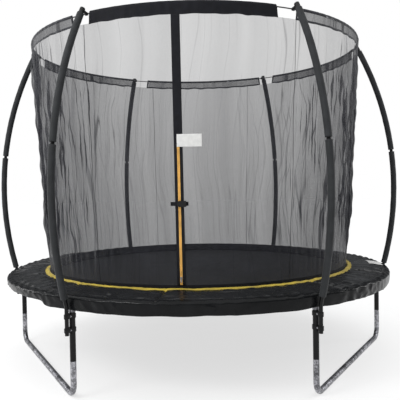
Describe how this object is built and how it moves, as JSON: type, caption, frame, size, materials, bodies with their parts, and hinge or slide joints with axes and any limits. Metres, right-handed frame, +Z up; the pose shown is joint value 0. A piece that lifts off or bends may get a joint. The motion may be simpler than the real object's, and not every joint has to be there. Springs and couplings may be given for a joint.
{
  "type": "trampoline",
  "caption": "Round garden trampoline with a sprung mat, yellow-edged safety pad, inside net on bowed poles and U-shaped legs.",
  "frame": {"origin": "on the floor under the centre of the bed", "axes": "+Z up, the net door faces -Y, +X to the right of someone who faces the door"},
  "size_m": [3.3458, 3.0596, 2.4545],
  "materials": {
    "galvanised_steel": "dull mottled zinc",
    "black_steel": "glossy black powder coat",
    "pole_foam": "matt charcoal foam",
    "black_plastic": "fine moulded grain",
    "bright_zinc": "bright zinc plate",
    "zip_metal": "dark nickel",
    "fibreglass": "satin",
    "mat_fabric": "woven, slight sheen",
    "black_webbing": "woven tape",
    "pad_vinyl": "glossy creased vinyl over foam",
    "yellow_binding": "satin binding tape",
    "yellow_zip": "yellow-orange edging with a moulded zip",
    "net_mesh": "open polyester mesh",
    "white_label": "plain satin label"
  },
  "bodies": {
    "frame": {"frame_tube_1": "galvanised_steel", "frame_tube_2": "galvanised_steel", "frame_tube_3": "galvanised_steel", "frame_tube_4": "galvanised_steel", "frame_tube_5": "galvanised_steel", "frame_tube_6": "galvanised_steel", "tee_joints": "galvanised_steel", "tee_screws": "bright_zinc", "leg_upright_1": "black_steel", "leg_upright_2": "black_steel", "leg_upright_3": "black_steel", "leg_upright_4": "black_steel", "leg_upright_5": "black_steel", "leg_upright_6": "black_steel", "leg_base_1": "galvanised_steel", "leg_base_2": "galvanised_steel", "leg_base_3": "galvanised_steel", "pole_lower_1": "black_steel", "pole_lower_2": "black_steel", "pole_lower_3": "black_steel", "pole_lower_4": "black_steel", "pole_lower_5": "black_steel", "pole_lower_6": "black_steel", "pole_upper_1": "black_steel", "pole_upper_2": "black_steel", "pole_upper_3": "black_steel", "pole_upper_4": "black_steel", "pole_upper_5": "black_steel", "pole_upper_6": "black_steel", "foam_sleeve_1": "pole_foam", "foam_sleeve_2": "pole_foam", "foam_sleeve_3": "pole_foam", "foam_sleeve_4": "pole_foam", "foam_sleeve_5": "pole_foam", "foam_sleeve_6": "pole_foam", "pole_caps": "black_plastic", "pole_clamps": "black_steel", "clamp_bolts": "bright_zinc", "ring_rods": "fibreglass", "rod_ferrules": "bright_zinc", "springs": "bright_zinc", "safety_pad": "pad_vinyl", "pad_trim": "yellow_binding", "pad_skirt": "pad_vinyl", "pad_straps": "black_webbing", "pad_label": "white_label", "enclosure_net": "net_mesh", "net_sleeve": "black_webbing", "net_hem": "black_webbing", "net_label": "white_label", "door_tape": "black_webbing", "zip_chain": "yellow_zip", "buckle_socket": "black_plastic", "buckle_straps": "black_webbing"},
    "bed": {"jumping_mat": "mat_fabric", "mat_border": "black_webbing", "v_rings": "bright_zinc"},
    "zip_slider": {"zip_slider": "zip_metal"},
    "zip_pull": {"zip_pull": "zip_metal"},
    "buckle_prong": {"buckle_prong": "black_plastic"}
  },
  "joints": [
    {"name": "bed_bounce", "type": "slide", "parent": "frame", "child": "bed", "axis": [0, 0, -1], "range_m": [0, 0.25], "stiffness_N_per_m": 4500, "springref_m": -0.03, "deforming": ["springs"]},
    {"name": "zip_slide", "type": "slide", "parent": "frame", "child": "zip_slider", "axis": [-0.0037, -0.0609, 0.9981], "range_m": [0, 0.4]},
    {"name": "pull_swing", "type": "hinge", "parent": "zip_slider", "child": "zip_pull", "pos_m": [-0.07504, -1.22688, 0.74021], "axis": [-0.9981, 0.0611, 0], "range_deg": [0, 150]},
    {"name": "buckle_release", "type": "slide", "parent": "frame", "child": "buckle_prong", "axis": [-0.9981, 0.0611, 0], "range_m": [0, 0.036]}
  ]
}
